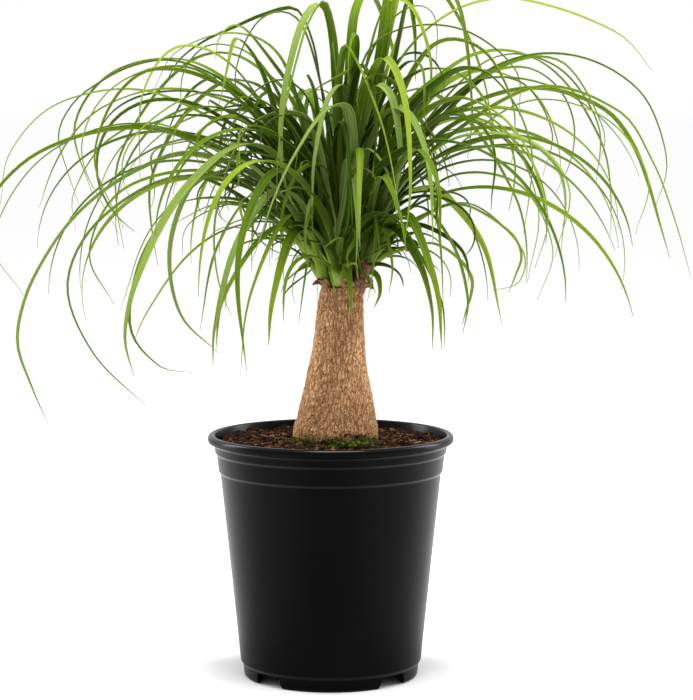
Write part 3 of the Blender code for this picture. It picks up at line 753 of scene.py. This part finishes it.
# For each shoot: the number of long leaves, the middle of their fan and its
# half width in degrees, and the number of curled ones.
MORE_LEAVES = {"left": (4, 180, 80, 34), "right": (3, 0, 80, 14), "front": (3, -100, 85, 7),
               "back": (10, 50, 75, 12), "rear": (10, 128, 75, 22), "centre": (7, 0, 180, 20)}
grown = 0
for shoot, (long_count, middle, spread, curled_count) in MORE_LEAVES.items():
    foot, top = shoot_lines[shoot]
    luck = random.Random(shoot)
    ribbon = bmesh.new()
    for index in range(long_count + curled_count):
        curled = index >= long_count
        share = (index - long_count * curled + 0.5) / (curled_count if curled else long_count)
        turn = ((index * GOLDEN) % math.tau) / math.tau * 2 - 1
        azimuth = math.radians(middle + turn * spread + luck.uniform(-8, 8))
        outward = heading(azimuth)
        start = foot.lerp(top, 0.08 + 0.72 * share) + outward * (7.2 - 3.2 * share) * MM
        if curled:
            length = luck.uniform(0.15, 0.25 + 0.17 * share)
            launch, droop = luck.uniform(66, 91), luck.uniform(50, 165)
            power, swing = luck.uniform(1.3, 3.2), luck.uniform(-0.5, 0.5) * 3.5
        else:
            facing_front = max(0, -outward.y - 0.8) / 0.2
            length = luck.uniform(0.33, 0.50) - 0.14 * facing_front
            launch, droop = 62 + 18 * share + luck.uniform(-6, 6), luck.uniform(62, 106)
            power, swing = luck.uniform(0.95, 1.4), luck.uniform(-0.5, 0.5)
        kink = luck.uniform(0.45, 0.75) if luck.random() < KINKED_SHARE else None
        wave = luck.uniform(-1.5, 1.5) if curled else luck.uniform(-0.15, 0.15)
        habit = (azimuth, math.radians(launch), math.radians(droop), power)
        line = hanging_line(start, *habit, length, swing, kink, wave)
        farthest = max(place.xy.length for place in line)
        if farthest > REACH_LIMIT:
            line = hanging_line(start, *habit, length * REACH_LIMIT / farthest, swing, kink, wave)
        width = luck.uniform(5, 9.5) if curled else luck.uniform(7.5, 12)
        sheath = luck.uniform(8, 11) if curled else luck.uniform(13, 18)
        tint = luck.uniform(0.1, 0.7) if curled else luck.uniform(0.15, 0.85)
        curl = luck.uniform(-1.2, 1.2) if curled else 0.0
        add_ribbon(ribbon, line, [crosswise(azimuth)], width * MM, luck, sheath=sheath * MM, tint=tint,
                   stations=40, curl=curl)
        grown += 1
    finish_leaf(f"more_leaves_{shoot}", ribbon)
print("leaves grown in between", grown)

# %% [markdown]
# ## Shoots
# Inside the leaf bases, each shoot is a short pale stem. The sheaths hide most
# of it, so a smooth swept form with a slightly ribbed surface is enough.

# %% Shoots
sheath_green = streaked_finish("pale leaf sheath", (180, 3, (1, 1, 0.12)), (0.12, 0.16, 0.03),
                               (0.30, 0.33, 0.10), 0.5, (0.4, 0.0006), ior=1.42, specular_ior_level=0.2,
                               subsurface_weight=0.2, subsurface_radius=(0.6, 0.9, 0.3),
                               subsurface_scale=0.004)
for shoot_name in SHOOT_NAMES:
    shoot_bm = merged_copy(shoot_name)
    bmesh.ops.dissolve_limit(shoot_bm, angle_limit=math.radians(3), verts=shoot_bm.verts,
                             edges=shoot_bm.edges)
    bmesh.ops.recalc_face_normals(shoot_bm, faces=shoot_bm.faces)
    shoot = finish_piece(f"{shoot_name[6:]}_shoot", shoot_bm, sheath_green, [shoot_name],
                         sharp=60)
    rounding = shoot.modifiers.new("rounding", "SUBSURF")
    rounding.levels = rounding.render_levels = 2
print("shoots", len(SHOOT_NAMES))

# %% [markdown]
# ## Bark
# The trunk's bark is tan and corky. Upright fissures split it into narrow
# plates, cross cracks break the plates up, and old leaf scars ring the top in
# red-brown. The plates are real relief, cut into a fine grid, and the same
# crack value is kept on the surface so that the colour follows the relief.

# %% Bark relief


def cracks(where, sharpness):
    """0 on a plate and 1 in the crack between two plates."""
    distances = noise.voronoi(where)[0]
    return max(0.0, 1 - (distances[1] - distances[0]) * sharpness)


def ring_at(height):
    """The trunk's radius and centre at a height, eased between its measured rings."""
    for low, high in zip(trunk_rings, trunk_rings[1:]):
        if low[0] <= height <= high[0]:
            share = (height - low[0]) / max(high[0] - low[0], 1e-9)
            share = share * share * (3 - 2 * share) * 0.35 + share * 0.65
            return [between(ends, share) for ends in zip(low[1:], high[1:])]
    return list(trunk_rings[0 if height < trunk_rings[0][0] else -1][1:])


TRUNK_AROUND, TRUNK_UP = 350, 260
noise.seed_set(3)
bark_bm = bmesh.new()
crack_layer = bark_bm.verts.layers.float.new("crack")
scar_layer = bark_bm.verts.layers.float.new("scar")
grid = bmesh.ops.create_grid(bark_bm, x_segments=TRUNK_AROUND, y_segments=TRUNK_UP, size=0.5)["verts"]
bottom, top_height = trunk_rings[0][0] + 2 * MM, trunk_rings[-1][0]
BODY_SHARE, BOTTOM_SHARE, SCARRED = 0.94, 0.02, 46 * MM
for vert in grid:
    angle = (vert.co.x + 0.5) * math.tau
    level = (vert.co.y + 0.5)
    height = between((bottom, top_height), min(level / BODY_SHARE, 1.0))
    radius, middle_x, middle_y = ring_at(height)
    settled = min(1, level / BOTTOM_SHARE)
    radius *= settled
    shoulder = max(0.0, (level - BODY_SHARE) / (1 - BODY_SHARE))
    out = heading(angle)
    surface = out * radius + Vector((0, 0, height))
    upright = Vector((surface.x, surface.y, surface.z * 0.30))
    bend = noise.noise_vector(surface * 60) * 0.0012
    coarse = cracks((upright + bend) * 240, 6.5)
    fine = cracks((upright + bend) * 450 + Vector((3, 7, 1)), 4.5)
    flat = cracks(Vector((surface.x * 0.34, surface.y * 0.34, surface.z)) * 190 + bend * 300, 8.0)
    crack = min(1.0, 0.70 * coarse + 0.40 * fine + 0.50 * flat * (0.35 + 0.65 * fine))
    near_top = max(0.0, min(1.0, (height - (top_height - SCARRED)) / SCARRED))
    scar_turn = height * 620 + 2.2 * math.sin(angle * 2)
    ledge = near_top * 0.5 * MM * math.sin(scar_turn + noise.noise(surface * 40) * 3)
    folds = 1.1 * MM * noise.noise(Vector((out.x * 2.6, out.y * 2.6, height * 8)))
    plates = 0.55 * MM * noise.noise(upright * 190) + 0.3 * MM * noise.noise(surface * 420)
    relief = 0.15 * MM - 1.15 * MM * crack + plates + folds + ledge
    closing = shoulder * math.pi / 2
    grown_radius = (radius + relief) * math.cos(closing) if shoulder else radius + relief * settled
    vert.co = out * grown_radius + Vector((middle_x, middle_y, height + 1.2 * MM * math.sin(closing)))
    vert[crack_layer] = crack
    vert[scar_layer] = near_top * (0.5 + 0.5 * math.sin(scar_turn))
print("bark points", len(bark_bm.verts))

# %% Bark finish
soil_low, soil_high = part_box("potting_soil")
CRACK_BROWN = (0.120, 0.050, 0.018)
bark = Finish("tan corky bark", ior=1.4, specular_ior_level=0.15)
crack_depth = bark.attribute("crack")
scars = bark.attribute("scar")
bark_patches = bark.grain(34, 5, (1, 1, 0.5))
bark_fibre = bark.grain(330, 4, (1, 1, 0.22))
bark_fleck = bark.grain(900, 2, (1, 1, 0.5))
wander = bark.node("ShaderNodeTexNoise", None, {"Vector": bark.place(), "Scale": 110, "Detail": 3}, out=1)
wandering = bark.node("ShaderNodeVectorMath", {"operation": "MULTIPLY_ADD"},
                      {0: wander, 1: (0.005, 0.005, 0.005), 2: bark.place()})


def fissures(scale, stretch, width):
    """Thin dark lines between stretched cells, 1 in the middle of a line."""
    where = bark.node("ShaderNodeMapping", None, {"Vector": wandering, "Scale": stretch})
    edge = bark.node("ShaderNodeTexVoronoi", {"feature": "DISTANCE_TO_EDGE"},
                     {"Vector": where, "Scale": scale})
    return bark.band(edge, width, 0.0)


upright_fissures = fissures(290, (1, 1, 0.24), 0.17)
cross_fissures = fissures(270, (0.42, 0.42, 1), 0.12) * bark.band(bark_fibre, 0.40, 0.62)
bark_colour = bark.ramp(bark_patches, (0.28, (0.26, 0.130, 0.054)), (0.5, (0.42, 0.222, 0.100)),
                        (0.72, (0.56, 0.325, 0.160)))
trunk_x, depth_back, height_up = bark.split(bark.place())
uneven = 0.030 * (bark_patches - 0.5) + 0.014 * (bark_fibre - 0.5)
damp = bark.band(height_up + uneven, soil_high[2] + 0.013, soil_high[2] - 0.003)
stain = damp * bark.band(depth_back - 0.5 * trunk_x, 0.012, -0.022)
# Laid over the tan in turn: light and dark fibres, flecks, leaf scars, the
# cracks of the relief, fine fissures, and a mossy stain beside the soil.
for mask, colour in (
        (bark.band(bark_fibre, 0.45, 0.72, 0.0, 0.6), (0.66, 0.410, 0.215)),
        (bark.band(bark_fibre, 0.42, 0.28, 0.0, 0.6), (0.19, 0.092, 0.038)),
        (bark.band(bark_fleck, 0.62, 0.75, 0.0, 0.45), (0.70, 0.48, 0.28)),
        (scars * 0.55, (0.23, 0.085, 0.035)),
        (bark.band(crack_depth, 0.25, 0.90, 0.0, 0.72), (0.140, 0.062, 0.024)),
        (upright_fissures * 0.58, CRACK_BROWN),
        (cross_fissures * 0.42, CRACK_BROWN),
        (stain * 0.85, (0.036, 0.036, 0.007))):
    bark_colour = bark.blend(mask, bark_colour, colour)
bark.feed("Base Color", bark_colour)
bark.feed("Roughness", 0.78 + 0.15 * bark_fibre)
bark_height = bark_fibre + 0.5 * bark_fleck - 0.85 * upright_fissures - 0.65 * cross_fissures
bark.feed("Normal", bark.bump(bark_height, 0.8, 0.0012))
trunk_piece = finish_piece("bark_trunk", bark_bm, bark, ["trunk"], weld=WELD)
print("trunk faces", len(trunk_piece.data.polygons))

# %% [markdown]
# ## The cut stub
# An old shoot was once cut off at the front of the crown. Its stub has dried
# to dark brown, with a ragged end.

# %% Cut stub
STUB_FOOT, STUB_TOP = Vector((0.0225, -0.0095, 0.404)), Vector((0.0380, -0.0225, 0.4405))
stub_bm = bmesh.new()
lean = (STUB_TOP - STUB_FOOT).to_track_quat("Z", "Y").to_matrix()
bmesh.ops.create_cone(stub_bm, cap_ends=True, segments=28, radius1=6.6 * MM, radius2=5.6 * MM,
                      depth=(STUB_TOP - STUB_FOOT).length)
long_edges = [edge for edge in stub_bm.edges if abs(edge.verts[0].co.z - edge.verts[1].co.z) > 1 * MM]
bmesh.ops.subdivide_edges(stub_bm, edges=long_edges, cuts=12, use_grid_fill=True)
bmesh.ops.inset_region(stub_bm, faces=[face for face in stub_bm.faces if face.normal.z > 0.9],
                       thickness=2.2 * MM)
for vert in stub_bm.verts:
    ragged = noise.noise(vert.co * 260) * 1.6 * MM
    inner = vert.co.xy.length < 4 * MM and vert.co.z > 0
    furrows = noise.noise(Vector((vert.co.x, vert.co.y, vert.co.z * 0.3)) * 500) * 0.3
    vert.co += Vector((vert.co.x, vert.co.y, 0)) * furrows
    vert.co.z += ragged * (vert.co.z > 0.012) - 2.5 * MM * inner
    vert.co = lean @ vert.co + (STUB_FOOT + STUB_TOP) / 2
stub_brown = streaked_finish("dried brown stub", (300, 4, (1, 1, 0.3)), (0.022, 0.009, 0.004),
                             (0.15, 0.066, 0.028), 0.75, (0.6, 0.001), ior=1.4)
finish_piece("cut_stub", stub_bm, stub_brown, sharp=50)

# %% [markdown]
# ## The untidy foot of the crown
# Round the shoots' feet sit small young leaves, some of them curled, that arch
# over at once or stand up between the shoots, and brown papery scraps of old
# sheaths. They hide the joint between trunk and shoots, as on a real plant.

# %% Young leaves and dry scraps
YOUNG_LEAVES, SCRAPS, SCRAP_THICKNESS = 36, 24, 0.4 * MM
luck = random.Random(5)
young = bmesh.new()
homes = list(shoot_lines.values())
for index in range(YOUNG_LEAVES):
    azimuth = index * GOLDEN + luck.uniform(-0.4, 0.4)
    outward = heading(azimuth)
    foot, top = max(homes, key=lambda line: (line[0] - crown).dot(outward) + luck.uniform(0, 14) * MM)
    start = foot.lerp(top, luck.uniform(0.05, 0.5)) + outward * 6 * MM
    length = luck.choice([luck.uniform(0.05, 0.10), luck.uniform(0.09, 0.19)])
    launch, droop = math.radians(luck.uniform(38, 78)), math.radians(luck.uniform(10, 110))
    line = hanging_line(start, azimuth, launch, droop, luck.uniform(0.8, 1.4), length,
                        luck.uniform(-1.6, 1.6), None, luck.uniform(-1, 1))
    add_ribbon(young, line, [crosswise(azimuth)], luck.uniform(4.5, 8.5) * MM, luck,
               sheath=luck.uniform(8, 12) * MM, tint=luck.uniform(0.2, 0.8), stations=26, cells=4,
               curl=luck.uniform(-2.0, 2.0))
finish_leaf("young_crown_leaves", young)

papery = streaked_finish("dry papery sheath", (120, 4, (1, 1, 0.3)), (0.060, 0.026, 0.011),
                         (0.29, 0.165, 0.075), 0.7, (0.5, 0.0008), specular_ior_level=0.15,
                         subsurface_weight=0.1, subsurface_scale=0.002)
scraps = bmesh.new()
for _ in range(SCRAPS):
    azimuth = luck.uniform(0, math.tau)
    start = crown + heading(azimuth) * luck.uniform(17, 23.5) * MM + Vector((0, 0, luck.uniform(-5, 4) * MM))
    launch, droop = math.radians(luck.uniform(50, 95)), math.radians(luck.uniform(-50, 60))
    line = hanging_line(start, azimuth, launch, droop, 1.0, luck.uniform(8, 22) * MM, luck.uniform(-0.8, 0.8))
    add_ribbon(scraps, line, [crosswise(azimuth)], luck.uniform(5, 9) * MM, luck,
               sheath=luck.uniform(8, 12) * MM, stations=12, cells=4, curl=luck.uniform(-1, 1))
thicken(finish_piece("dry_sheath_scraps", scraps, papery), SCRAP_THICKNESS)
print("young leaves and scraps round the crown")

# %% [markdown]
# ## Potting soil
# The mix is bark chips, coir and crumbs. A body fills the pot, with a lumpy
# top that rises to the wall and closes round the trunk's buried foot. The
# loose bits are modelled one by one and strewn over it, because from this low
# a view they stand out against each other.

# %% Soil body
SOIL_LEVEL = soil_high[2] - 2 * MM
buried = [ring for ring in trunk_rings if ring[0] < SOIL_LEVEL]
foot_x, foot_y = buried[-1][2], buried[-1][3]
FOOT_RADIUS = max(ring[1] for ring in buried) + 0.4 * MM
WALL_RADIUS = soil_high[0] - 0.1 * MM


def soil_height(x, y):
    """The lumpy top of the soil at a place."""
    spot = Vector((x, y, 0))
    crumbs = 1 - min(noise.voronoi(spot * 190)[0][0] * 1.5, 1)
    lumps = 1.8 * noise.noise(spot * 34) + 1.5 * noise.noise(spot * 110)
    return SOIL_LEVEL + (lumps + 1.9 * crumbs - 0.9) * MM


SOIL_AROUND, SOIL_UP = 380, 130
soil_bm = bmesh.new()
# Share of the way up the grid, radius, height, and whether it is centred on the trunk (1) or the pot (0).
outline = [(0.0, 0, soil_low[2], 0), (0.03, 93.2 * MM, soil_low[2], 0),
           (0.08, WALL_RADIUS, SOIL_LEVEL - 3 * MM, 0), (0.10, WALL_RADIUS - 0.6 * MM, SOIL_LEVEL, 0),
           (0.92, FOOT_RADIUS, SOIL_LEVEL, 1), (0.96, FOOT_RADIUS - 8 * MM, buried[0][0] + 6 * MM, 1),
           (1.0, 0, buried[0][0] - 1 * MM, 1)]
soil_grid = bmesh.ops.create_grid(soil_bm, x_segments=SOIL_AROUND, y_segments=SOIL_UP, size=0.5)
for vert in soil_grid["verts"]:
    angle, level = (vert.co.x + 0.5) * math.tau, vert.co.y + 0.5
    low, high = next(pair for pair in zip(outline, outline[1:]) if level <= pair[1][0] + 1e-6)
    share = (level - low[0]) / (high[0] - low[0])
    radius, height, shift = (between(ends, share) for ends in zip(low[1:], high[1:]))
    x, y = radius * math.cos(angle) + shift * foot_x, radius * math.sin(angle) + shift * foot_y
    vert.co = (x, y, soil_height(x, y) if 0.095 < level < 0.925 else height)
soil_dark = Finish("damp bark and coir mix", ior=1.4, specular_ior_level=0.1)
soil_grain = soil_dark.grain(260, 6)
soil_lumps = soil_dark.grain(70, 3)
soil_colour = soil_dark.ramp(soil_grain, (0.30, (0.004, 0.002, 0.001)), (0.52, (0.020, 0.008, 0.004)),
                             (0.70, (0.085, 0.036, 0.015)))
crumbly = soil_dark.band(soil_lumps, 0.5, 0.7, 0.0, 0.4)
soil_dark.feed("Base Color", soil_dark.blend(crumbly, soil_colour, (0.070, 0.029, 0.012)))
soil_dark.feed("Roughness", 0.85 + 0.1 * soil_grain)
soil_dark.feed("Normal", soil_dark.bump(soil_grain, 1.0, 0.0020))
finish_piece("soil_body", soil_bm, soil_dark, ["potting_soil"], weld=WELD)

# %% Strewn chips


def chip_template(seed, flatness):
    """An irregular lump about 1 m across, to be scaled when it is strewn."""
    lump = bmesh.new()
    bmesh.ops.create_icosphere(lump, subdivisions=1, radius=0.5)
    shake = random.Random(seed)
    for vert in lump.verts:
        vert.co *= shake.uniform(0.7, 1.25)
        vert.co.z *= flatness
    return mesh_of("chip_template", lump)


def strew(name, count, finish, sizes, flatness, seed, stretch=(0.9, 1.9)):
    """Scatter lumps over the soil between the trunk and the pot's wall."""
    shake = random.Random(seed)
    templates = [chip_template(seed * 10 + kind, flatness) for kind in range(6)]
    pile = bmesh.new()
    for _ in range(count):
        angle = shake.uniform(0, math.tau)
        x, y = heading(angle).xy * math.sqrt(shake.uniform((FOOT_RADIUS + 1 * MM) ** 2,
                                                           (WALL_RADIUS - 3 * MM) ** 2))
        if math.hypot(x - foot_x, y - foot_y) < FOOT_RADIUS + 1.5 * MM:
            continue
        size = between(sizes, shake.random() ** 2.2)
        before = len(pile.verts)
        pile.from_mesh(shake.choice(templates))
        pile.verts.ensure_lookup_table()
        turn = Matrix.Rotation(shake.uniform(0, math.tau), 3, "Z")
        for axis in "XY":
            turn = turn @ Matrix.Rotation(shake.uniform(-0.6, 0.6), 3, axis)
        long = shake.uniform(*stretch)
        place = Vector((x, y, soil_height(x, y) + size * flatness * 0.25))
        for vert in pile.verts[before:]:
            vert.co = turn @ Vector((vert.co.x * size * long, vert.co.y * size, vert.co.z * size)) + place
    for mesh in templates:
        bpy.data.meshes.remove(mesh)
    finish_piece(name, pile, finish, sharp=25)


def chip_finish(name, dark, light):
    chip = Finish(name, ior=1.4, specular_ior_level=0.1)
    flecks = chip.grain(160, 4)
    chip.feed("Base Color", chip.ramp(flecks, (0.32, dark), (0.68, light)))
    chip.feed("Roughness", 0.75 + 0.2 * flecks)
    chip.feed("Normal", chip.bump(chip.grain(700, 3), 0.7, 0.0010))
    return chip


dark_chip = chip_finish("dark bark chip", (0.005, 0.002, 0.001), (0.038, 0.015, 0.006))
red_chip = chip_finish("red-brown bark chip", (0.032, 0.012, 0.005), (0.190, 0.085, 0.034))
pale_chip = chip_finish("pale wood chip", (0.22, 0.12, 0.055), (0.58, 0.42, 0.25))
strew("dark_chips", 1500, dark_chip, (2.2 * MM, 8.5 * MM), 0.7, 1)
strew("red_brown_chips", 800, red_chip, (1.6 * MM, 7.0 * MM), 0.55, 2)
strew("pale_chips", 46, pale_chip, (1.6 * MM, 5.0 * MM), 0.4, 3, stretch=(1.2, 3.0))
print("soil and chips")

# %% Coir fibres
FIBRES, FIBRE_WIDTH, FIBRE_THICKNESS = 90, 0.55 * MM, 0.35 * MM
fibres = bmesh.new()
for _ in range(FIBRES):
    angle = luck.uniform(0, math.tau)
    spot = heading(angle) * luck.uniform(FOOT_RADIUS + 8 * MM, WALL_RADIUS - 8 * MM)
    course, line = luck.uniform(0, math.tau), []
    swerve = luck.uniform(-0.35, 0.35)
    for _ in range(7):
        inside = min(spot.xy.length, WALL_RADIUS - 5 * MM) / max(spot.xy.length, 1e-6)
        line.append(Vector((spot.x * inside, spot.y * inside, 0)))
        line[-1].z = soil_height(line[-1].x, line[-1].y) + luck.uniform(1.2, 3.0) * MM
        course += swerve
        spot += heading(course) * luck.uniform(2, 5) * MM
    across_fibre = Vector((0, 0, 1)).cross(line[-1] - line[0]).normalized()
    add_ribbon(fibres, line, [across_fibre], FIBRE_WIDTH, luck, sheath=0.5 * MM, stations=12, cells=1)
coir = chip_finish("coir fibre", (0.16, 0.08, 0.03), (0.45, 0.28, 0.14))
thicken(finish_piece("coir_fibres", fibres, coir), FIBRE_THICKNESS)
print("coir fibres", FIBRES)

# %% [markdown]
# ## Moss
# Two low cushions grow where the trunk stays damp. Each cushion is a lumpy
# mound, covered in hundreds of tiny upright leaflets, and some of them climb
# the bark.

# %% Moss cushions
CLIMBING, MOSS_CLIMB = 0.62, 18 * MM
moss_green = Finish("moss", ior=1.35, specular_ior_level=0.1, subsurface_weight=0.15, subsurface_scale=0.002)
moss_grain = moss_green.grain(230, 4)
moss_patch = moss_green.grain(60, 2)
moss_colour = moss_green.ramp(moss_grain, (0.3, (0.003, 0.004, 0.0005)), (0.52, (0.016, 0.020, 0.0015)),
                              (0.72, (0.110, 0.125, 0.010)))
browned = moss_green.band(moss_patch, 0.52, 0.72, 0.0, 0.6)
moss_green.feed("Base Color", moss_green.blend(browned, moss_colour, (0.026, 0.013, 0.003)))
moss_green.feed("Roughness", 0.85 + 0.1 * moss_grain)
moss_green.feed("Normal", moss_green.bump(moss_grain, 0.8, 0.0015))
for node, arc, count in (("moss_front", (-118, -12), 3000), ("moss_left", (-172, -124), 480)):
    mound = merged_copy(node)
    bmesh.ops.subdivide_edges(mound, edges=mound.edges, cuts=3, use_grid_fill=True, smooth=0.5)
    base = min(vert.co.z for vert in mound.verts)
    for vert in mound.verts:
        vert.co.z += (1.0 * noise.noise(vert.co * 120) - 2.2 * (vert.co.z < base + 0.3 * MM)) * MM
    bmesh.ops.recalc_face_normals(mound, faces=mound.faces)
    finish_piece(f"{node}_cushion", mound, moss_green, [node])
    leaflet = bmesh.new()
    bmesh.ops.create_cone(leaflet, cap_ends=True, segments=3, radius1=0.32, radius2=0.02, depth=1)
    leaflet_mesh = mesh_of("leaflet_template", leaflet)
    tufts = bmesh.new()
    for _ in range(count):
        share = (luck.random() + luck.random()) / 2 if luck.random() < 0.5 else luck.random()
        out = heading(math.radians(between(arc, share)))
        edge = math.sin(math.pi * min(max(share, 0.02), 0.98)) ** 0.5
        if luck.random() < CLIMBING:
            tongues = 0.5 + 0.5 * abs(noise.noise(out * 11 + Vector((0, 0, 2)))) ** 0.5
            up = luck.random() ** 1.25 * MOSS_CLIMB * edge * tongues
            radius = ring_at(SOIL_LEVEL + up)[0]
            place = out * (radius - 0.2 * MM) + Vector((foot_x, foot_y, SOIL_LEVEL + up))
            lean = out * 0.9 + Vector((0, 0, 0.7))
        else:
            reach = luck.random() ** 0.8
            radius = FOOT_RADIUS + reach * 17 * MM * edge
            rise = 6.2 * MM * (1 - reach ** 2) * edge
            height = SOIL_LEVEL + 1.5 * MM + rise * luck.uniform(0.6, 1.0)
            place = out * radius + Vector((foot_x, foot_y, height))
            lean = out * reach * 0.8 + Vector((0, 0, 1))
        lean += Vector((luck.uniform(-0.5, 0.5), luck.uniform(-0.5, 0.5), 0))
        before = len(tufts.verts)
        tufts.from_mesh(leaflet_mesh)
        tufts.verts.ensure_lookup_table()
        size = luck.uniform(1.3, 2.9) * MM
        turn = lean.to_track_quat("Z", "Y").to_matrix()
        for vert in tufts.verts[before:]:
            vert.co = turn @ (vert.co * size) + place
    bpy.data.meshes.remove(leaflet_mesh)
    finish_piece(f"{node}_leaflets", tufts, moss_green)
print("moss")
